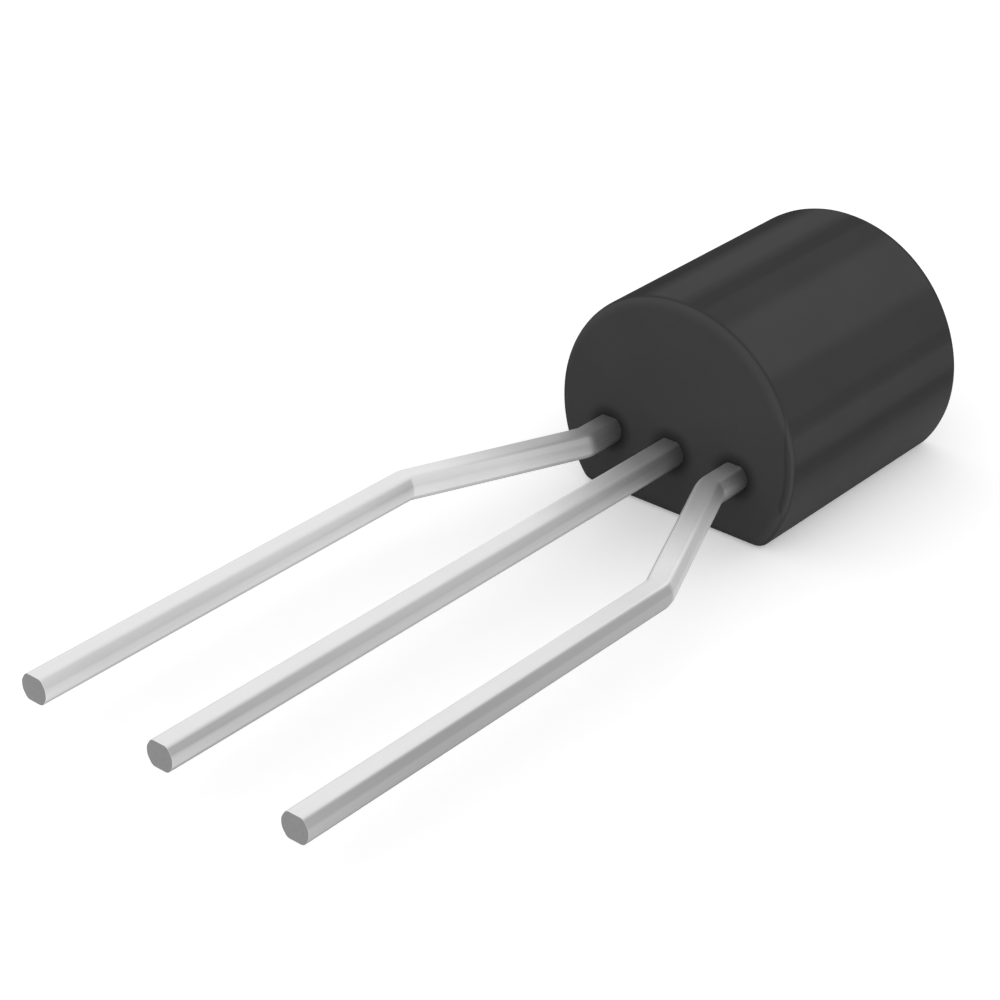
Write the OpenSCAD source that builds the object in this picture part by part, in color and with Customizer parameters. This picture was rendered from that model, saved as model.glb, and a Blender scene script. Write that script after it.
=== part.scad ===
// Small transistor in a moulded package with three formed leads.
// It lies on its flat: +Z is up, the leads run towards -Y, and the origin
// is the centre of the flat. Lengths are in millimetres.

/* [Body] */
// Length of the moulded body along the leads
body_length = 5.00; // [4.6:0.05:5.4]
// Radius of the round side
body_radius = 2.34; // [2.2:0.02:2.5]
// Height of the round side's axis above the flat
axis_height = 1.51; // [1.3:0.01:1.7]
// Rounding between the round side and the flat
corner_round = 0.26; // [0.1:0.01:0.4]
// Rounding of the rim at the end that the leads leave
lead_end_round = 0.20; // [0.1:0.01:0.35]
// Rounding of the rim at the closed end
closed_end_round = 0.38; // [0.1:0.01:0.5]

/* [Leads] */
// Length of a lead from the body to its cut tip
lead_length = 11.43; // [10:0.1:14]
// Width of a lead across the package
lead_width = 0.50; // [0.4:0.01:0.6]
// Thickness of the sheet that the leads are stamped from
lead_thickness = 0.44; // [0.36:0.01:0.5]
// Width that a coined edge takes from each side of a lead
coin_width = 0.095; // [0.05:0.005:0.12]
// Depth that a coined edge takes from each face of a lead
coin_depth = 0.145; // [0.08:0.005:0.16]
// Height of the leads' middle plane above the flat
lead_height = 1.185; // [1.1:0.005:1.3]
// Spacing of the leads where they leave the body
body_pitch = 1.27; // [1.2:0.01:1.35]

/* [Forming] */
// Spacing of the leads at their tips
tip_pitch = 2.54; // [2.3:0.02:2.7]
// Distance from the body to the corner of the first bend
first_bend = 0.66; // [0.5:0.02:0.9]
// Distance from the body to the corner of the second bend
second_bend = 3.64; // [3.2:0.02:4.2]
// Radius on the inside of each bend
bend_inside = 0.08; // [0.04:0.01:0.2]

/* [Lead frame] */
// Distance from the body's lead end to the die pad
pad_start = 1.95; // [1.8:0.05:2.2]
// Length of the die pad
pad_length = 2.10; // [1.8:0.05:2.2]
// Width of the die pad
pad_width = 1.90; // [1.5:0.05:2.2]
// Distance from the body's lead end to the bond posts
post_start = 0.70; // [0.6:0.05:0.8]
// Length of a bond post
post_length = 0.95; // [0.8:0.05:1]
// Width of a bond post
post_width = 0.85; // [0.7:0.05:0.95]
// Rounding of the corners of the die pad and the bond posts
plate_round = 0.12; // [0.05:0.01:0.2]

/* [Die and wires] */
// Side of the square die
die_side = 0.50; // [0.4:0.01:0.7]
// Thickness of the die
die_thickness = 0.20; // [0.15:0.01:0.25]
// Thickness of the paste that holds the die on its pad
paste_thickness = 0.03; // [0.02:0.005:0.05]
// Width that the paste shows on each side of the die
paste_margin = 0.06; // [0.02:0.01:0.1]
// Distance of each ball bond from the middle of the die
bond_offset = 0.13; // [0.1:0.01:0.15]
// Diameter of the ball bonds, and of the stitches on the posts
bond_diameter = 0.12; // [0.1:0.01:0.14]
// Thickness of the ball bonds and the stitches
bond_thickness = 0.03; // [0.02:0.005:0.04]
// Diameter of the bond wires
wire_diameter = 0.05; // [0.03:0.005:0.06]
// Radius of a wire's loop, to the middle of the wire
loop_radius = 0.14; // [0.1:0.01:0.2]
// Angle at which a wire falls from its loop to its post
fall_angle = 15; // [13:1:20]

/* [Hidden] */
$fn = 64;

lead_end = -body_length / 2;
closed_end = body_length / 2;
sheet_top = lead_height + lead_thickness / 2;
die_bottom = sheet_top + paste_thickness;
die_top = die_bottom + die_thickness;
die_y = lead_end + pad_start + pad_length / 2;
post_y = lead_end + post_start + post_length / 2;

// Centre of the rounding between the round side and the flat, from the axis.
// It stands a hair too far out, so that the two curves cross, not just touch.
corner_hair = 0.0001;
corner_z = corner_round - axis_height;
corner_reach = body_radius - corner_round;
corner_x = sqrt(pow(corner_reach, 2) - pow(corner_z, 2)) + corner_hair;
touch_z = corner_z * body_radius / corner_reach;

// Angle of the bends, their radius to the middle of the lead, the distance
// from a bend's corner to its ends, and the straight stretches between
bend_angle = atan2(tip_pitch - body_pitch, second_bend - first_bend);
bend_radius = bend_inside + lead_width / 2;
bend_reach = bend_radius * tan(bend_angle / 2);
near_length = post_start + first_bend - bend_reach;
slant_length = (second_bend - first_bend) / cos(bend_angle) - 2 * bend_reach;
tip_length = lead_length - second_bend - bend_reach;

// A wire seen from its side: its span, the height of its loop's centre above
// the post, its straight rise above the die, and its straight fall, which
// reaches past the stitch until the wire's top meets the post
wire_step = [body_pitch - bond_offset, post_y - die_y];
wire_span = norm(wire_step);
loop_height = tan(fall_angle) * (wire_span - loop_radius * (1 + sin(fall_angle)))
    - loop_radius * cos(fall_angle);
wire_rise = loop_height - (die_top - sheet_top);
fall_height = loop_height + loop_radius * cos(fall_angle) + wire_diameter / 2;
fall_length = fall_height / sin(fall_angle);

// Share of a bend that is drawn from each of its ends: the two overlap
BEND_SHARE = 0.7;

EPOXY = [0.23, 0.23, 0.23];
TIN = [0.86, 0.86, 0.86];
PASTE = [0.7, 0.7, 0.68];
SILICON = [0.35, 0.37, 0.45];
GOLD = [0.95, 0.78, 0.35];

// ---- Moulded body, built about the axis of its round side ----

// Outline across the leads: the flat and its two rounded corners, open above
module flat_outline() {
    translate([-body_radius, touch_z]) {
        square([2 * body_radius, body_radius - touch_z]);
    }
    translate([-corner_x, -axis_height]) square([2 * corner_x, axis_height]);
    for (side = [-1, 1]) {
        translate([side * corner_x, corner_z]) circle(corner_round);
    }
}

// Outline along the leads, with the rim at each end rounded at x = outer
module length_outline(inner, outer) {
    polygon([
        [inner, lead_end],
        [outer - lead_end_round, lead_end],
        [outer, lead_end + lead_end_round],
        [outer, closed_end - closed_end_round],
        [outer - closed_end_round, closed_end],
        [inner, closed_end]
    ]);
    translate([outer - lead_end_round, lead_end + lead_end_round]) {
        circle(lead_end_round);
    }
    translate([outer - closed_end_round, closed_end - closed_end_round]) {
        circle(closed_end_round);
    }
}

module moulding() {
    translate([0, 0, axis_height]) {
        intersection() {
            rotate([90, 0, 0]) {
                linear_extrude(body_length, center = true) flat_outline();
            }
            // The round side and its rims
            rotate([-90, 0, 0]) {
                rotate_extrude() length_outline(0, body_radius);
            }
            // The flat's rims
            rotate([0, 90, 0]) {
                linear_extrude(2 * body_radius, center = true) {
                    length_outline(-body_radius, axis_height);
                }
            }
        }
    }
}

module case() {
    color(EPOXY) {
        // What is finest is cut first
        difference() {
            difference() {
                moulding();
                die();
                die_paste();
                emitter_wire();
                base_wire();
            }
            collector_lead();
            emitter_lead();
            base_lead();
        }
    }
}

// ---- Leads, built about their middle plane ----

// Stamped sheet with its four edges coined
module lead_section() {
    side = lead_width / 2;
    face = lead_thickness / 2;
    polygon([
        [side, coin_depth - face], [side, face - coin_depth],
        [side - coin_width, face], [coin_width - side, face],
        [-side, face - coin_depth], [-side, coin_depth - face],
        [coin_width - side, -face], [side - coin_width, -face]
    ]);
}

// Straight stretch that runs towards -Y from the origin
module straight(length) {
    rotate([90, 0, 0]) linear_extrude(length) lead_section();
}

// Part of a bend about the origin, from the X axis towards the Y axis
module bend_part() {
    rotate_extrude(angle = BEND_SHARE * bend_angle) {
        translate([bend_radius, 0]) lead_section();
    }
}

// Bend from -Y towards +X at the origin, with the stretch that follows it
module bend() {
    translate([bend_radius, 0]) {
        rotate(180) bend_part();
        rotate(bend_angle) {
            rotate(180) mirror([0, 1]) bend_part();
            translate([-bend_radius, 0]) children();
        }
    }
}

// Flat end of a lead inside the body, from the origin towards +Y
module plate(length, width) {
    translate([0, length / 2]) {
        linear_extrude(lead_thickness, center = true) {
            square([width - 2 * plate_round, length], center = true);
            square([width, length - 2 * plate_round], center = true);
            for (x = [-1, 1], y = [-1, 1]) {
                translate([
                    x * (width / 2 - plate_round),
                    y * (length / 2 - plate_round)
                ]) {
                    circle(plate_round);
                }
            }
        }
    }
}

// Outer lead on the +X side, from its bond post to its tip
module outer_lead() {
    translate([body_pitch, lead_end + post_start]) {
        plate(post_length, post_width);
        straight(near_length);
        translate([0, -near_length]) bend() {
            straight(slant_length);
            translate([0, -slant_length]) mirror([1, 0]) bend() {
                straight(tip_length);
            }
        }
    }
}

module collector_lead() {
    color(TIN) {
        translate([0, lead_end + pad_start, lead_height]) {
            plate(pad_length, pad_width);
            straight(pad_start + lead_length);
        }
    }
}

module emitter_lead() {
    color(TIN) translate([0, 0, lead_height]) outer_lead();
}

module base_lead() {
    color(TIN) translate([0, 0, lead_height]) mirror([1, 0, 0]) outer_lead();
}

// ---- Die and bond wires ----

module block(side, thickness) {
    linear_extrude(thickness) square(side, center = true);
}

module die() {
    color(SILICON) translate([0, die_y, die_bottom]) block(die_side, die_thickness);
}

module die_paste() {
    color(PASTE) {
        translate([0, die_y, sheet_top]) {
            block(die_side + 2 * paste_margin, paste_thickness);
        }
    }
}

// Wire in the XZ plane, up from the origin, over its loop and down again
module wire_run() {
    cylinder(h = wire_rise, d = wire_diameter);
    translate([loop_radius, 0, wire_rise]) {
        rotate([90, 0, 0]) rotate(90 - fall_angle) {
            rotate_extrude(angle = 90 + fall_angle) {
                translate([loop_radius, 0]) circle(d = wire_diameter);
            }
            translate([loop_radius, 0]) {
                rotate([90, 0, 0]) cylinder(h = fall_length, d = wire_diameter);
            }
        }
    }
}

module bond() {
    cylinder(h = bond_thickness, d = bond_diameter);
}

// Wire on the +X side, with its ball bond on the die and its stitch on a post
module bond_wire() {
    translate([bond_offset, die_y]) {
        rotate(atan2(wire_step.y, wire_step.x)) {
            translate([0, 0, die_top]) bond();
            translate([wire_span, 0, sheet_top]) bond();
            intersection() {
                translate([0, 0, die_top]) wire_run();
                translate([-wire_span, -wire_span, sheet_top]) cube(3 * wire_span);
            }
        }
    }
}

module emitter_wire() {
    color(GOLD) bond_wire();
}

module base_wire() {
    color(GOLD) mirror([1, 0, 0]) bond_wire();
}

case();
collector_lead();
emitter_lead();
base_lead();
die();
die_paste();
emitter_wire();
base_wire();
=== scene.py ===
"""Looks for a small transistor: a moulded epoxy body and three formed, tin-plated leads.

Lengths in this file are in millimetres unless a name says otherwise. The model is in metres.
"""

from math import atan2, cos, pi, radians, sin, sqrt, tan

import bpy
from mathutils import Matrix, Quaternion, Vector


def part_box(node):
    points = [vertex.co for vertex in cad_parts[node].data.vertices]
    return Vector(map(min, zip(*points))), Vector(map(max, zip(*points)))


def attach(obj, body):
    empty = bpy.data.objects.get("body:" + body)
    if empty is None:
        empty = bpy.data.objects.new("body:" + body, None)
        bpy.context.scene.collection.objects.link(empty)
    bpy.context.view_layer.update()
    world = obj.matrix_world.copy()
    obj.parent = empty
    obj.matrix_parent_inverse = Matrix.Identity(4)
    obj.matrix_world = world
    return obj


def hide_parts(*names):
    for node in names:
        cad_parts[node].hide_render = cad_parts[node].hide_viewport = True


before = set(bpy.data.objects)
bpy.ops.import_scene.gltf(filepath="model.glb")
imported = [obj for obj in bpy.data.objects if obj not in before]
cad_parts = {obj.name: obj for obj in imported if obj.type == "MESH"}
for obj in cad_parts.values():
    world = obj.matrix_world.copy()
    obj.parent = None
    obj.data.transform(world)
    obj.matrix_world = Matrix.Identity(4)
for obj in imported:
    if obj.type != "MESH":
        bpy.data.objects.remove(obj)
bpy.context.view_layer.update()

MM = 0.001

# ---- Camera: the point it looks at, where it stands round that point, and its lens ----
TARGET = Vector((0.0865, -6.895, 2.2009))
AZIMUTH, ELEVATION, ROLL = radians(-49.816), radians(29.328), radians(0.2008)
DISTANCE = 42.508
FOCAL_PIXELS, IMAGE_PIXELS, SENSOR_WIDTH = 2831.02, 1000, 36

# ---- Body, as the frame has it ----
LEAD_END, CLOSED_END = (y / MM for y in (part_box("case")[0][1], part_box("case")[1][1]))
BODY_RADIUS, AXIS_HEIGHT, CORNER_ROUND = 2.34, 1.51, 0.26
LEAD_END_ROUND, CLOSED_END_ROUND, FLAT_RIM_ROUND = 0.20, 0.38, 0.22
RIM_NARROWS = radians(60)  # From the top, where the closed end's rim starts to narrow
CORNER_X = sqrt((BODY_RADIUS - CORNER_ROUND) ** 2 - (CORNER_ROUND - AXIS_HEIGHT) ** 2)
CORNER_ANGLE = atan2(CORNER_X, AXIS_HEIGHT - CORNER_ROUND)

# ---- Leads, as the frame has them ----
LEAD_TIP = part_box("collector_lead")[0][1] / MM
LEAD_WIDTH, LEAD_THICKNESS, LEAD_HEIGHT = 0.50, 0.44, 1.185
COIN_WIDTH, COIN_DEPTH, EDGE_ROUND, TIP_ROUND = 0.095, 0.145, 0.05, 0.012
BODY_PITCH, TIP_PITCH, FIRST_BEND, SECOND_BEND = 1.27, 2.54, 0.66, 3.64
BEND_RADIUS = 0.08 + LEAD_WIDTH / 2
BEND_ANGLE = atan2(TIP_PITCH - BODY_PITCH, SECOND_BEND - FIRST_BEND)
BEND_REACH = BEND_RADIUS * tan(BEND_ANGLE / 2)  # How far a bend runs to each side of its corner

# ---- Ends of the leads inside the body ----
POST_START, POST_LENGTH, POST_WIDTH = 0.70, 0.95, 0.85
PAD_START, PAD_LENGTH, PAD_WIDTH = 1.95, 2.10, 1.90
PLATE_ROUND = 0.12

# ---- Steps of the meshes ----
ROUND_STEPS, CORNER_STEPS, RIM_STEPS = 96, 12, 8
BEND_STEPS, EDGE_STEPS, TIP_STEPS, PLATE_STEPS = 6, 4, 2, 6
BODY_SMOOTH, LEAD_SMOOTH = radians(50), radians(35)
MERGE_WITHIN = 0.0005

# ---- How a surface faces, from where a finish starts to where it is full ----
FRONT, CLOSED_FACE, ROUND_SIDE = (-0.4, -0.95), (0.75, 0.97), (0.5, 0.1)
UPWARD, UNDERNEATH = (0.6, 0.9), (-0.3, -0.8)
NEAR_SIDE, FAR_SIDE, COINED_TOP = (0.3, 0.75), (-0.66, -0.8), (0.2, 0.45)
SLANTED, NOT_REARWARD, CUT_TIP = (0.1, 0.3), (0.3, 0.1), (-0.7, -0.9)

# ---- Black epoxy ----
EPOXY, DARKEST_EPOXY, EPOXY_ROUGHNESS = 0.046, 0.0115, 0.48
# Bands of painted reflection and shade along the round side, as angles from the top
# in degrees: where each starts and ends, how far it fades out, and how much
# lighter or darker it is as a share of the epoxy
PAINTED_REFLECTION_BANDS = (
    (-130, -86, 5, -0.15), (-82, -76, 3, 0.2), (-66, -58, 7, -0.15), (-46, -38, 6, 0.2),
    (-28, -21, 5, -0.27), (-11, -3, 6, 0.31), (5, 9, 3, -0.17), (26, 46, 7, 0.29),
    (69, 71, 3, -0.1), (76, 84, 3, 0.21), (86, 130, 5, -0.15), (89, 92, 3, -0.1),
)
BETWEEN_REFLECTION_BANDS = 0.2

# How much lighter or darker the other parts of the epoxy are: painted light on the end faces, painted
# shade round the leads and in the dark rim line, a painted highlight on the closed end's rim, and a random
# mottle and grain
FRONT_PAINTED_LIGHT, RING_PAINTED_SHADE, CLOSED_FACE_PAINTED_LIGHT = 0.25, -0.7, 0.12
DARK_LINE_PAINTED_SHADE, CLOSED_END_HIGHLIGHT_TONE = -0.3, 0.25
MOTTLE_TONE, GRAIN_TONE = 0.19, 0.11

# Painted lines on the rims, a highlight and a dark line of shade, as how far the rim's
# surface faces the end of the body, and half their width. Low on the body the lead
# end's painted highlight is narrow, with the painted dark line inside it.
HIGHLIGHT_AT, LOW_HIGHLIGHT_AT = 0.62, 0.5
HIGHLIGHT_HALF, LOW_HIGHLIGHT_HALF = 0.45, 0.27
PAINTED_HIGHLIGHT_TONE, LOW_PAINTED_HIGHLIGHT_TONE = 0.4, 0.7
DARK_LINE_AT, LOW_DARK_LINE_AT, DARK_LINE_HALF = 0.42, 0.88, 0.1
# A painted highlight on the closed end's rim
CLOSED_END_HIGHLIGHT = (0.86, 0.13)

# Angles from the top over which the rim's lines take their low form, and then lose it
LOW_RIM_ANGLES = (radians(58), radians(82))
RIM_FADE_ANGLES = (radians(104), radians(114))

# Where the painted shade round a lead starts to fade and ends, from the lead's middle
SHADE_RING = (0.22, 0.5)

# The round side's gloss low down, and the angles from the top over which it comes in
LOW_GLOSS, LOW_GLOSS_ROUGHNESS = 0.27, 0.5
LOW_GLOSS_ANGLES = (radians(80), radians(108))

# ---- Tin and the metal under it ----
TIN, TIN_ROUGHNESS, CUT_METAL = 0.665, 0.46, 0.25

# How much darker some faces of a lead are, as painted shade
UNDERSIDE_PAINTED_SHADE, FAR_SIDE_PAINTED_SHADE, COINED_PAINTED_SHADE = -0.58, -0.2, -0.12

# Painted shade: its near side fades to a share of its lightness from this place on towards the tip
TIP_FADE_START, TIP_SHADE_SHARE = -8.0, 0.84

# Beside the body it is darker, by painted shade, over a short length. The heel is the
# run from the first bend on, and its own share of painted light or shade fades out along a length.
BODY_SHADE_SHARE, BODY_SHADE_LENGTH = 0.7, 0.6
HEEL_START, HEEL_LENGTH = 0.5, 1.9

# Each lead's own shares of the tin's lightness, which are painted light and shade: on
# its near side where it runs straight and where it slants, and at its heel. The crest,
# a painted highlight or shade on its top, is at a distance from the body, fades over
# another, and is lighter or darker. Spread is 1 on a bent lead.
TIN_ON_LEADS = {
    "collector_tin": {
        "spread": 0.0, "straight": 0.81, "slanting": 1.0, "heel": 0.8, "crest": (2.2, 1.6, -0.15),
    },
    "emitter_tin": {
        "spread": 1.0, "straight": 0.59, "slanting": 0.83, "heel": 1.05, "crest": (2.9, 1.6, 0.2),
    },
    "base_tin": {
        "spread": 1.0, "straight": 1.0, "slanting": 1.15, "heel": 0.74, "crest": (1.6, 1.8, -0.3),
    },
}

# ---- Light ----
# How brightly the white world lights the object, how much the floor glows, and how
# far out it goes over into the backdrop, which is white
WORLD_LIGHT = 0.8
FLOOR_GLOW = 0.32
FLOOR_FADES = (60, 200)
FLOOR_SIZE = 4000

# Where each softbox hangs round the body, in degrees, how wide it is, and its brightness
SOFTBOXES = {
    "back_left": {"azimuth": 140, "elevation": 40, "size": 200, "brightness": 0.25},
    "back_right": {"azimuth": 70, "elevation": 35, "size": 180, "brightness": 0.45},
    "front": {"azimuth": -90, "elevation": 40, "size": 200, "brightness": 0.3},
    "front_left": {"azimuth": -150, "elevation": 40, "size": 200, "brightness": 0.2},
}
LIGHT_DISTANCE = 250


def clear_selection():
    bpy.ops.object.select_all(action="DESELECT")


# ---- Small helpers for modelling, in millimetres ----

def start_piece(name, add, **settings):
    """Adds a primitive, with its turn and place put into its mesh, and opens it for edits."""
    clear_selection()
    add(**settings)
    piece = bpy.context.object
    piece.name = name
    bpy.ops.object.transform_apply(location=True, rotation=True, scale=True)
    bpy.ops.object.mode_set(mode="EDIT")
    return piece


def extrude(x=0, y=0, z=0):
    bpy.ops.mesh.extrude_region_move(TRANSFORM_OT_translate={"value": (x * MM, y * MM, z * MM)})


def spin(steps, angle, centre, axis):
    """Spins what is selected, by the right-hand rule about the axis."""
    bpy.ops.mesh.spin(steps=steps, angle=-angle, center=Vector(centre) * MM, axis=axis)


def select_edges(piece, wanted):
    """Selects the edges whose two ends, in millimetres, are as wanted."""
    bpy.ops.mesh.select_all(action="DESELECT")
    bpy.ops.mesh.select_mode(type="EDGE")
    bpy.ops.object.mode_set(mode="OBJECT")
    points = piece.data.vertices
    for edge in piece.data.edges:
        edge.select = wanted(*(points[v].co / MM for v in edge.vertices))
    bpy.ops.object.mode_set(mode="EDIT")


def finish_piece(piece, smooth_angle, node):
    bpy.ops.mesh.select_all(action="SELECT")
    bpy.ops.mesh.remove_doubles(threshold=MERGE_WITHIN * MM)
    bpy.ops.mesh.normals_make_consistent(inside=False)
    bpy.ops.object.mode_set(mode="OBJECT")
    bpy.ops.object.shade_smooth_by_angle(angle=smooth_angle)
    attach(piece, "root")
    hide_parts(node)


# ---- Moulded body ----

def closed_end_rounding(point):
    """The closed end's rim, which narrows smoothly on its way down to the flat."""
    turned = atan2(abs(point.x), point.z - AXIS_HEIGHT)
    low = (turned - RIM_NARROWS) / (pi - CORNER_ANGLE - RIM_NARROWS)
    low = min(1, max(0, low))
    return CLOSED_END_ROUND + (FLAT_RIM_ROUND - CLOSED_END_ROUND) * low * low * (3 - 2 * low)


def moulded_body():
    """The frame's body with a finer round side: half its outline is spun, mirrored and drawn out."""
    top = (0, LEAD_END * MM, (AXIS_HEIGHT + BODY_RADIUS) * MM)
    body = start_piece("moulded_body", bpy.ops.mesh.primitive_plane_add, size=MM, location=top)
    bpy.ops.mesh.merge(type="CENTER")
    spin(ROUND_STEPS, pi - CORNER_ANGLE, (0, LEAD_END, AXIS_HEIGHT), (0, 1, 0))
    spin(CORNER_STEPS, CORNER_ANGLE, (CORNER_X, LEAD_END, CORNER_ROUND), (0, 1, 0))
    extrude(x=-CORNER_X)
    bpy.ops.object.mode_set(mode="OBJECT")
    mirror = body.modifiers.new("other_half", "MIRROR")
    mirror.merge_threshold = 2 * MERGE_WITHIN * MM
    bpy.ops.object.modifier_apply(modifier=mirror.name)
    bpy.ops.object.mode_set(mode="EDIT")
    bpy.ops.mesh.select_all(action="SELECT")
    bpy.ops.mesh.edge_face_add()
    extrude(y=CLOSED_END - LEAD_END)
    finish_piece(body, BODY_SMOOTH, "case")

    # Rims: the rounding at each edge is its share of the widest one
    share = body.data.attributes.new("bevel_weight_edge", "FLOAT", "EDGE")
    for edge in body.data.edges:
        a, b = (body.data.vertices[v].co / MM for v in edge.vertices)
        if abs(a.y - b.y) > 0.01:
            continue
        rounding = closed_end_rounding((a + b) / 2) if a.y > 0 else LEAD_END_ROUND
        share.data[edge.index].value = rounding / CLOSED_END_ROUND
    rims = body.modifiers.new("rims", "BEVEL")
    rims.limit_method = "WEIGHT"
    rims.width = CLOSED_END_ROUND * MM
    rims.segments = RIM_STEPS
    rims.use_clamp_overlap = False
    rims.harden_normals = True
    bpy.ops.object.modifier_apply(modifier=rims.name)
    return body


# ---- Leads ----

def draw_section(name, x, y):
    """A lead's cut end with coined, rounded edges, which faces -Y at x, y."""
    lead = start_piece(name, bpy.ops.mesh.primitive_plane_add, size=1, rotation=(radians(90), 0, 0))
    # The section is coined at a scale where each corner is cut by 1 both ways
    bpy.ops.transform.resize(value=(LEAD_WIDTH / COIN_WIDTH, 1, LEAD_THICKNESS / COIN_DEPTH))
    bpy.ops.mesh.bevel(offset=1, affect="VERTICES", segments=1, clamp_overlap=False)
    bpy.ops.transform.resize(value=(COIN_WIDTH * MM, 1, COIN_DEPTH * MM))
    bpy.ops.mesh.bevel(offset=EDGE_ROUND * MM, affect="VERTICES", segments=EDGE_STEPS, clamp_overlap=False)
    bpy.ops.transform.translate(value=(x * MM, y * MM, LEAD_HEIGHT * MM))
    return lead


def outer_run(side):
    """Draws an outer lead from its bond post, past both bends, to its tip."""
    near = POST_START + FIRST_BEND - BEND_REACH
    slant = (SECOND_BEND - FIRST_BEND) / cos(BEND_ANGLE) - 2 * BEND_REACH
    x, y = side * BODY_PITCH, LEAD_END - FIRST_BEND + BEND_REACH
    extrude(y=-near)
    spin(BEND_STEPS, side * BEND_ANGLE, (x + side * BEND_RADIUS, y, LEAD_HEIGHT), (0, 0, 1))
    extrude(x=side * slant * sin(BEND_ANGLE), y=-slant * cos(BEND_ANGLE))
    x, y = side * TIP_PITCH, LEAD_END - SECOND_BEND - BEND_REACH
    spin(BEND_STEPS, -side * BEND_ANGLE, (x - side * BEND_RADIUS, y, LEAD_HEIGHT), (0, 0, 1))
    extrude(y=LEAD_TIP - y)


def add_plate(lead, x, y, width, length):
    """The flat end of a lead inside the body, which runs on from y towards +Y."""
    bpy.ops.mesh.select_all(action="DESELECT")
    bpy.ops.object.mode_set(mode="OBJECT")
    middle = (x * MM, (y + length / 2) * MM, LEAD_HEIGHT * MM)
    plate = start_piece(
        "plate", bpy.ops.mesh.primitive_cube_add, size=MM, location=middle,
        scale=(width, length, LEAD_THICKNESS),
    )
    select_edges(plate, lambda a, b: abs(a.z - b.z) > 0.1)
    bpy.ops.mesh.bevel(offset=PLATE_ROUND * MM, segments=PLATE_STEPS, clamp_overlap=False)
    bpy.ops.object.mode_set(mode="OBJECT")
    lead.select_set(True)
    bpy.context.view_layer.objects.active = lead
    bpy.ops.object.join()
    bpy.ops.object.mode_set(mode="EDIT")


def finish_lead(lead, node):
    """Takes the edge off the cut tip."""
    select_edges(lead, lambda a, b: max(a.y, b.y) < LEAD_TIP + 0.001)
    bpy.ops.mesh.bevel(offset=TIP_ROUND * MM, segments=TIP_STEPS, clamp_overlap=False)
    finish_piece(lead, LEAD_SMOOTH, node)
    # The rolled faces stay flat, and only the rounded edges between them turn
    flats = lead.modifiers.new("flats", "WEIGHTED_NORMAL")
    flats.weight = 100
    flats.keep_sharp = True
    bpy.ops.object.modifier_apply(modifier=flats.name)
    return lead


def collector_lead():
    start = LEAD_END + PAD_START
    lead = draw_section("collector_strip", 0, start)
    extrude(y=LEAD_TIP - start)
    add_plate(lead, 0, start, PAD_WIDTH, PAD_LENGTH)
    return finish_lead(lead, "collector_lead")


def outer_lead(name, side, node):
    start = LEAD_END + POST_START
    lead = draw_section(name, side * BODY_PITCH, start)
    outer_run(side)
    add_plate(lead, side * BODY_PITCH, start, POST_WIDTH, POST_LENGTH)
    return finish_lead(lead, node)


# ---- Small helpers for materials ----

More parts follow.
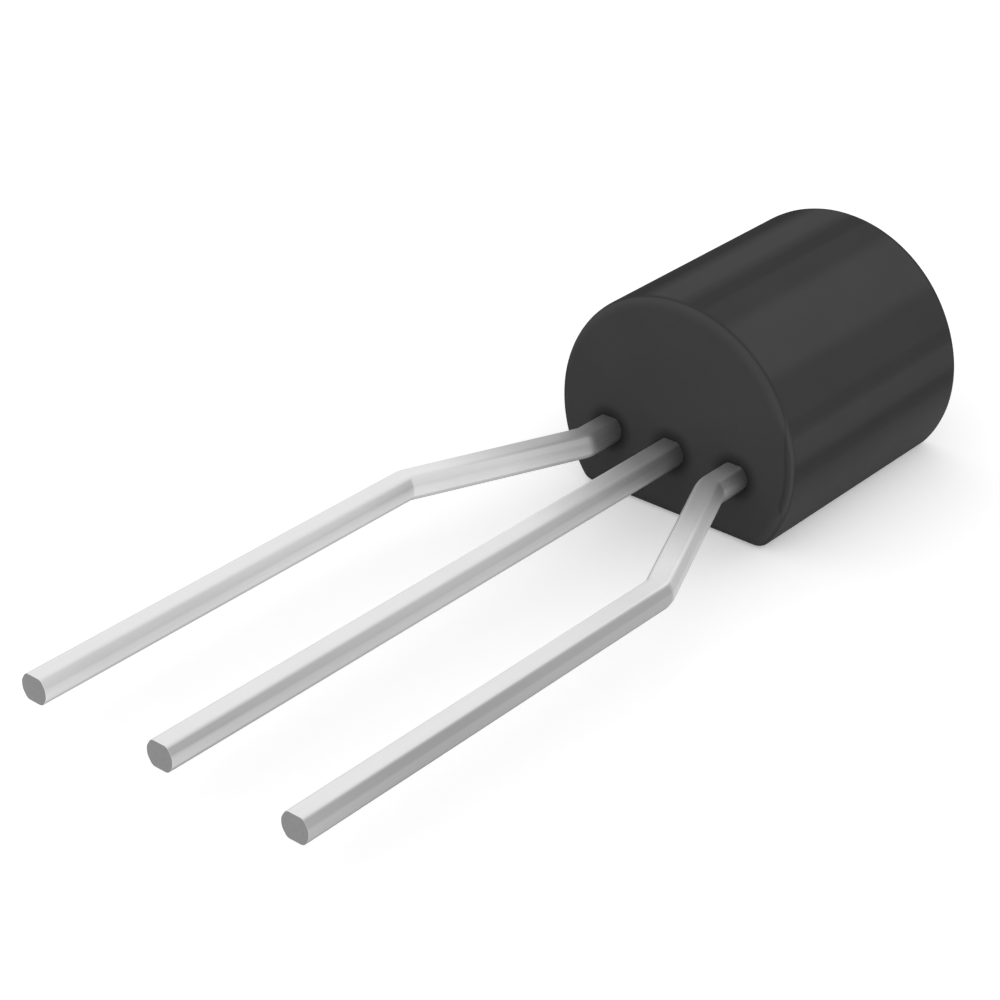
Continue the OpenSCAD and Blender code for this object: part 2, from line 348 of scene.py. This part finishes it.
class Tree:
    """A node tree that is written as a chain of short calls."""

    def __init__(self, tree):
        self.tree = tree

    def add(self, kind, **settings):
        node = self.tree.nodes.new("ShaderNode" + kind)
        for name, value in settings.items():
            setattr(node, name, value)
        return node

    def put(self, value, socket):
        """Sets a socket to a number, or links it to another socket."""
        if isinstance(value, bpy.types.NodeSocket):
            self.tree.links.new(value, socket)
        else:
            socket.default_value = value

    def math(self, operation, *values):
        node = self.add("Math", operation=operation)
        for value, socket in zip(values, node.inputs):
            self.put(value, socket)
        return node.outputs[0]

    def total(self, *parts, start):
        """Adds to start each part times its weight."""
        for part, weight in parts:
            start = self.math("MULTIPLY_ADD", part, weight, start)
        return start

    def times(self, *factors):
        product = factors[0]
        for factor in factors[1:]:
            product = self.math("MULTIPLY", product, factor)
        return product

    def ramp(self, value, low, high, start=0.0, end=1.0):
        """Goes smoothly from start to end while value goes from low to high."""
        node = self.add("MapRange", interpolation_type="SMOOTHSTEP")
        for socket, v in zip(node.inputs, (value, low, high, start, end)):
            self.put(v, socket)
        return node.outputs[0]

    def noise(self, place, scale, detail=2.0, rough=0.5):
        node = self.add("TexNoise")
        self.put(place, node.inputs["Vector"])
        self.put(scale, node.inputs["Scale"])
        self.put(detail, node.inputs["Detail"])
        self.put(rough, node.inputs["Roughness"])
        return node.outputs["Fac"]

    def distance(self, across, along):
        """How far a point is from where both numbers are 0."""
        squares = self.math("ADD", self.math("POWER", across, 2), self.math("POWER", along, 2))
        return self.math("SQRT", squares)

    def line(self, value, middle, half_width):
        """Is 1 where value is middle, and fades to 0 on both sides of it."""
        away = self.math("ABSOLUTE", self.math("SUBTRACT", value, middle))
        return self.ramp(away, 0, half_width, 1, 0)

    def vector(self, x, y, z):
        node = self.add("CombineXYZ")
        for value, socket in zip((x, y, z), node.inputs):
            self.put(value, socket)
        return node.outputs[0]

    def place(self):
        """The point of the surface in millimetres, and its x, y and z."""
        scaled = self.add("VectorMath", operation="SCALE")
        self.put(self.add("TexCoord").outputs["Object"], scaled.inputs[0])
        scaled.inputs["Scale"].default_value = 1 / MM
        parts = self.add("SeparateXYZ")
        self.put(scaled.outputs[0], parts.inputs[0])
        return scaled.outputs[0], *parts.outputs

    def facing(self, axis=1):
        """How far the surface faces along X, Y or Z."""
        parts = self.add("SeparateXYZ")
        self.put(self.add("TexCoord").outputs["Normal"], parts.inputs[0])
        return parts.outputs[axis]

    def mix(self, share, first, second):
        """A number that goes from first to second with share."""
        node = self.add("Mix", data_type="FLOAT")
        for name, value in (("Factor", share), ("A", first), ("B", second)):
            self.put(value, next(i for i in node.inputs if i.name == name and i.enabled))
        return next(o for o in node.outputs if o.enabled)

    def tint(self, tone, dark, light):
        """A grey, or a colour, that goes from dark to light with tone."""
        node = self.add("Mix", data_type="RGBA")
        self.put(tone, node.inputs["Factor"])
        self.put((*dark, 1), node.inputs["A"])
        self.put((*light, 1), node.inputs["B"])
        return node.outputs["Result"]

    def group(self, group, **values):
        node = self.add("Group", node_tree=group)
        for name, value in values.items():
            self.put(value, node.inputs[name.replace("_", " ")])
        return node.outputs


def new_material(name, metallic=0.0):
    material = bpy.data.materials.new(name)
    material.use_nodes = True
    shader = material.node_tree.nodes["Principled BSDF"]
    shader.inputs["Metallic"].default_value = metallic
    return material, Tree(material.node_tree), shader


def grey(level):
    return (level, level, level)


def new_group(name, inputs, outputs):
    group = bpy.data.node_groups.new(name, "ShaderNodeTree")
    for socket, default in inputs.items():
        made = group.interface.new_socket(socket, in_out="INPUT", socket_type="NodeSocketFloat")
        made.default_value = default
    for socket in outputs:
        group.interface.new_socket(socket, in_out="OUTPUT", socket_type="NodeSocketFloat")
    given = group.nodes.new("NodeGroupInput").outputs
    wanted = group.nodes.new("NodeGroupOutput").inputs
    return group, Tree(group), given, wanted


def bump(t, shader, height, depth):
    """Gives the shader a relief of that depth."""
    node = t.add("Bump")
    node.inputs["Distance"].default_value = depth * MM
    t.put(height, node.inputs["Height"])
    t.put(node.outputs[0], shader.inputs["Normal"])


# ---- Effects that several finishes share ----

def make_grain():
    """Fine grain over a soft mottle, both from 0 to 1."""
    inputs = {"Cells per mm": 20, "Patches per mm": 1}
    group, t, given, out = new_group("grain", inputs, ("Grain", "Mottle"))
    point = t.place()[0]
    t.put(t.noise(point, given["Cells per mm"], 3), out["Grain"])
    t.put(t.noise(point, given["Patches per mm"], 3), out["Mottle"])
    return group


def make_drawn_lines():
    """Lines along a lead, which follow it round its bends where Spread is 1."""
    inputs = {"Spread": 0, "Lines per mm": 30}
    group, t, given, out = new_group("drawn_lines", inputs, ("Lines",))
    _, x, y, z = t.place()
    sideways = t.math("ABSOLUTE", x)
    run = t.math("DIVIDE", t.math("SUBTRACT", LEAD_END - FIRST_BEND, y), SECOND_BEND - FIRST_BEND)
    run = t.math("MINIMUM", t.math("MAXIMUM", run, 0.0), 1.0)
    centre = t.math("ADD", BODY_PITCH, t.math("MULTIPLY", run, TIP_PITCH - BODY_PITCH))
    across = t.math("SUBTRACT", sideways, t.math("MULTIPLY", centre, given["Spread"]))
    scale = given["Lines per mm"]
    lines = t.vector(
        t.math("MULTIPLY", across, scale), t.math("MULTIPLY", y, 0.6), t.math("MULTIPLY", z, scale)
    )
    t.put(t.noise(lines, 1.0, 2), out["Lines"])
    return group


# ---- Finishes ----

def painted_reflection_bands(t, angle):
    """Painted reflection and shade in bands along the round side, by the angle from its top."""
    bands = []
    for first, last, fade, tone in PAINTED_REFLECTION_BANDS:
        begins = t.ramp(angle, radians(first - fade), radians(first))
        ends = t.ramp(angle, radians(last + fade), radians(last))
        bands.append((t.times(begins, ends), tone))
    return t.total(*bands, start=BETWEEN_REFLECTION_BANDS)


def shade_rings_round_leads(t, x, z):
    """Is 1 beside each of the three leads, where shade is painted, and fades away from it."""
    outward = t.math("ABSOLUTE", x)
    outer = t.math("ABSOLUTE", t.math("SUBTRACT", outward, BODY_PITCH))
    beside = t.math("MINIMUM", outward, outer)
    above = t.math("SUBTRACT", z, LEAD_HEIGHT)
    return t.ramp(t.distance(beside, above), *SHADE_RING, 1, 0)


def rim_lines(t, from_top):
    """A painted highlight line on the lead end's rim, and a painted dark line of shade where it meets the
    side.
    """
    forward = t.times(t.facing(), -1.0)
    fades = t.ramp(from_top, *RIM_FADE_ANGLES, 1, 0)
    low = t.times(t.ramp(from_top, *LOW_RIM_ANGLES), fades)
    polish_at = t.mix(low, HIGHLIGHT_AT, LOW_HIGHLIGHT_AT)
    painted_highlight = t.line(forward, polish_at, t.mix(low, HIGHLIGHT_HALF, LOW_HIGHLIGHT_HALF))
    painted_dark_line = t.line(forward, t.mix(low, DARK_LINE_AT, LOW_DARK_LINE_AT), DARK_LINE_HALF)
    return t.times(painted_highlight, t.mix(low, PAINTED_HIGHLIGHT_TONE, LOW_PAINTED_HIGHLIGHT_TONE)), t.times(painted_dark_line, fades)


def moulded_epoxy(grain):
    """Matt black epoxy, with painted reflection and shade in bands along its round side, painted light on
    its end faces, painted highlight and shade lines on its rims, and painted shade round the leads.
    """
    material, t, shader = new_material("moulded_epoxy")
    _, x, y, z = t.place()
    front = t.ramp(t.facing(), *FRONT)
    closed_face = t.ramp(t.facing(), *CLOSED_FACE)
    round_side = t.ramp(t.math("ABSOLUTE", t.facing()), *ROUND_SIDE)
    angle = t.math("ARCTAN2", x, t.math("SUBTRACT", z, AXIS_HEIGHT))
    from_top = t.math("ABSOLUTE", angle)
    # Bands of painted reflection and shade along the round side
    reflection_bands = t.times(painted_reflection_bands(t, angle), round_side)
    # A painted highlight line and a painted dark line of shade on the lead end's rim
    painted_highlight, painted_dark_line = rim_lines(t, from_top)
    speckle = t.group(grain, Cells_per_mm=30.0, Patches_per_mm=0.9)
    tone = t.total(
        (reflection_bands, 1.0),
        # Painted light: the lead end's face and the closed end's face are lighter
        (front, FRONT_PAINTED_LIGHT),
        (closed_face, CLOSED_FACE_PAINTED_LIGHT),
        (painted_highlight, 1.0),
        (painted_dark_line, DARK_LINE_PAINTED_SHADE),
        # A painted highlight on the closed end's rim
        (t.line(t.facing(), *CLOSED_END_HIGHLIGHT), CLOSED_END_HIGHLIGHT_TONE),
        # Painted shade in a ring round each lead where it leaves the body
        (t.times(shade_rings_round_leads(t, x, z), front), RING_PAINTED_SHADE),
        (t.math("SUBTRACT", speckle["Mottle"], 0.5), MOTTLE_TONE),
        (t.math("SUBTRACT", speckle["Grain"], 0.5), GRAIN_TONE),
        start=1.0,
    )
    level = t.math("MAXIMUM", t.times(tone, EPOXY), DARKEST_EPOXY)
    t.put(t.vector(level, level, level), shader.inputs["Base Color"])
    roughness = t.total((speckle["Grain"], 0.08), (reflection_bands, -0.05), start=EPOXY_ROUGHNESS)
    t.put(roughness, shader.inputs["Roughness"])
    # The epoxy is dull but for a thin gloss low on its round side
    shader.inputs["Specular IOR Level"].default_value = 0
    shader.inputs["Coat Roughness"].default_value = LOW_GLOSS_ROUGHNESS
    low = t.ramp(from_top, *LOW_GLOSS_ANGLES)
    t.put(t.times(low, round_side, LOW_GLOSS), shader.inputs["Coat Weight"])
    bump(t, shader, speckle["Grain"], 0.002)
    return material


def tin_plate(name, grain, drawn_lines, spread, straight, slanting, heel, crest):
    """Matt tin over stamped metal, which is bare where the tip is cut, with painted light and shade on its
    faces and along its length.
    """
    material, t, shader = new_material(name, metallic=1.0)
    _, _, y, _ = t.place()
    lines = t.group(drawn_lines, Spread=spread, Lines_per_mm=26.0)["Lines"]
    plate = t.group(grain, Cells_per_mm=22.0, Patches_per_mm=1.6)
    tone = t.total((lines, 0.5), (plate["Mottle"], 0.5), (plate["Grain"], 0.15), start=-0.075)

    # The faces that a lead turns to its sides, its top and the floor
    near_side = t.ramp(t.facing(0), *NEAR_SIDE)
    far_side = t.ramp(t.facing(0), *FAR_SIDE)
    coined = t.times(t.math("ADD", near_side, far_side), t.ramp(t.facing(2), *COINED_TOP))
    slanted = t.ramp(t.math("ABSOLUTE", t.facing()), *SLANTED)
    shaded_underside = t.times(t.ramp(t.facing(2), *UNDERNEATH), t.ramp(t.facing(), *NOT_REARWARD))
    # Painted shade that darkens the near side towards the tip
    shade_to_tip = t.ramp(y, TIP_FADE_START, LEAD_TIP, straight, TIP_SHADE_SHARE * straight)
    # Painted light and shade on the near side, by each lead's own shares where it runs straight and where
    # it slants
    near_share = t.mix(near_side, 1.0, t.mix(slanted, shade_to_tip, slanting))
    # Painted shade underneath, on the far side and on the coined edges
    tones = (shaded_underside, UNDERSIDE_PAINTED_SHADE), (far_side, FAR_SIDE_PAINTED_SHADE), (coined, COINED_PAINTED_SHADE)
    faces = t.total(*tones, start=1.0)

    # Painted shade beside the body, and painted light or shade at the heel and on the top of the slanted
    # run
    # Painted shade beside the body
    shade_beside_body = t.ramp(y, LEAD_END, LEAD_END - BODY_SHADE_LENGTH, BODY_SHADE_SHARE, 1.0)
    heel_starts = LEAD_END - HEEL_START
    at_heel = t.ramp(y, heel_starts, heel_starts - HEEL_LENGTH, heel, 1.0)
    crest_at, crest_fades, painted_crest_tone = crest
    # A painted highlight or shade on the top of the slanted run
    on_crest = t.times(t.ramp(t.facing(2), *UPWARD), t.line(y, LEAD_END - crest_at, crest_fades))
    along = t.times(shade_beside_body, at_heel, t.total((on_crest, painted_crest_tone), start=1.0))

    cut = t.times(t.ramp(t.facing(), *CUT_TIP), t.ramp(y, LEAD_TIP + 0.03, LEAD_TIP + 0.01))
    tinned = t.times(t.total((tone, 0.1), start=TIN), near_share, faces, along)
    level = t.mix(cut, tinned, t.total((plate["Grain"], 0.06), start=CUT_METAL))
    t.put(t.vector(level, level, level), shader.inputs["Base Color"])
    t.put(t.total((tone, 0.12), (cut, 0.1), start=TIN_ROUGHNESS), shader.inputs["Roughness"])
    bump(t, shader, tone, 0.0015)
    return material


def silicon(grain):
    material, t, shader = new_material("silicon", metallic=0.6)
    surface = t.group(grain, Cells_per_mm=60.0, Patches_per_mm=6.0)
    t.put(t.tint(surface["Mottle"], (0.07, 0.08, 0.11), (0.10, 0.11, 0.15)), shader.inputs["Base Color"])
    t.put(t.ramp(surface["Grain"], 0, 1, 0.2, 0.3), shader.inputs["Roughness"])
    return material


def silver_paste(grain):
    material, t, shader = new_material("silver_paste", metallic=0.7)
    surface = t.group(grain, Cells_per_mm=90.0, Patches_per_mm=8.0)
    t.put(t.tint(surface["Grain"], grey(0.4), grey(0.6)), shader.inputs["Base Color"])
    t.put(t.ramp(surface["Mottle"], 0, 1, 0.5, 0.65), shader.inputs["Roughness"])
    bump(t, shader, surface["Grain"], 0.003)
    return material


def gold(grain):
    material, t, shader = new_material("gold", metallic=1.0)
    surface = t.group(grain, Cells_per_mm=80.0, Patches_per_mm=5.0)
    t.put(t.tint(surface["Mottle"], (0.78, 0.53, 0.17), (0.9, 0.65, 0.24)), shader.inputs["Base Color"])
    t.put(t.ramp(surface["Grain"], 0, 1, 0.2, 0.32), shader.inputs["Roughness"])
    return material


def finish_all(body, collector, emitter, base):
    """Gives every piece its finish, the frame's own nodes too."""
    grain = make_grain()
    drawn_lines = make_drawn_lines()
    epoxy = moulded_epoxy(grain)
    tin = {
        name: tin_plate(name, grain, drawn_lines, **shares) for name, shares in TIN_ON_LEADS.items()
    }
    wire = gold(grain)
    body.data.materials.append(epoxy)
    collector.data.materials.append(tin["collector_tin"])
    emitter.data.materials.append(tin["emitter_tin"])
    base.data.materials.append(tin["base_tin"])
    finishes = {
        "case": epoxy,
        "collector_lead": tin["collector_tin"],
        "emitter_lead": tin["emitter_tin"],
        "base_lead": tin["base_tin"],
        "die": silicon(grain),
        "die_paste": silver_paste(grain),
        "emitter_wire": wire,
        "base_wire": wire,
    }
    for name, material in finishes.items():
        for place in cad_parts[name].material_slots:
            place.material = material


# ---- Floor, light and camera ----

def seen(t):
    """Is 1 for rays that show a thing itself, straight on, mirrored or through glass."""
    ray = t.add("LightPath").outputs
    mirrored, through = (ray["Is Glossy Ray"], 1.0), (ray["Is Transmission Ray"], 1.0)
    return t.total(mirrored, through, start=ray["Is Camera Ray"])


def white_floor():
    """A pale floor, which looks white wherever the object casts no shadow."""
    material, t, shader = new_material("white_floor")
    point, x, y, _ = t.place()
    t.put(t.tint(t.noise(point, 0.05, 2), grey(0.89), grey(0.91)), shader.inputs["Base Color"])
    shader.inputs["Roughness"].default_value = 0.9
    shader.inputs["Specular IOR Level"].default_value = 0
    # Farther out the floor goes over into the white of the backdrop
    backdrop = t.ramp(t.distance(x, y), *FLOOR_FADES)
    glow = t.add("Emission")
    t.put(t.mix(seen(t), 0.0, t.mix(backdrop, FLOOR_GLOW, 1.0)), glow.inputs["Strength"])
    both = t.add("AddShader")
    t.put(shader.outputs[0], both.inputs[0])
    t.put(glow.outputs[0], both.inputs[1])
    t.put(both.outputs[0], t.tree.nodes["Material Output"].inputs["Surface"])
    return material


def lay_floor():
    clear_selection()
    bpy.ops.mesh.primitive_plane_add(size=FLOOR_SIZE * MM)
    floor = bpy.context.object
    floor.name = "floor"
    floor.data.materials.append(white_floor())


def white_world():
    """Lights the object evenly from all round, and is white where it is seen."""
    world = bpy.data.worlds.new("studio")
    bpy.context.scene.world = world
    world.use_nodes = True
    t = Tree(world.node_tree)
    sky = world.node_tree.nodes["Background"]
    sky.inputs["Color"].default_value = (1, 1, 1, 1)
    t.put(t.mix(seen(t), WORLD_LIGHT, 1.0), sky.inputs["Strength"])


def from_angles(azimuth, elevation):
    return Vector((cos(elevation) * cos(azimuth), cos(elevation) * sin(azimuth), sin(elevation)))


def hang_softbox(name, azimuth, elevation, size, brightness):
    light = bpy.data.lights.new(name, "AREA")
    light.shape = "DISK"
    light.size = size * MM
    # Watts that give a disc of this size the brightness asked for
    light.energy = brightness * (pi * light.size / 2) ** 2
    box = bpy.data.objects.new(name, light)
    bpy.context.collection.objects.link(box)
    away = from_angles(radians(azimuth), radians(elevation))
    box.location = (away * LIGHT_DISTANCE + Vector((0, LEAD_END, 0))) * MM
    box.rotation_euler = away.to_track_quat("Z", "Y").to_euler()


def set_camera():
    data = bpy.data.cameras.new("camera")
    data.sensor_width = SENSOR_WIDTH
    data.lens = FOCAL_PIXELS / IMAGE_PIXELS * SENSOR_WIDTH
    data.clip_start = 1 * MM
    camera = bpy.data.objects.new("camera", data)
    bpy.context.collection.objects.link(camera)
    away = from_angles(AZIMUTH, ELEVATION)
    camera.location = (TARGET + DISTANCE * away) * MM
    camera.rotation_euler = (away.to_track_quat("Z", "Y") @ Quaternion((0, 0, 1), ROLL)).to_euler()
    bpy.context.scene.camera = camera


set_camera()
lay_floor()
white_world()
for box_name, box_setting in SOFTBOXES.items():
    hang_softbox(box_name, **box_setting)
finish_all(
    moulded_body(),
    collector_lead(),
    outer_lead("emitter_strip", 1, "emitter_lead"),
    outer_lead("base_strip", -1, "base_lead"),
)
bpy.context.scene.view_settings.view_transform = "Standard"
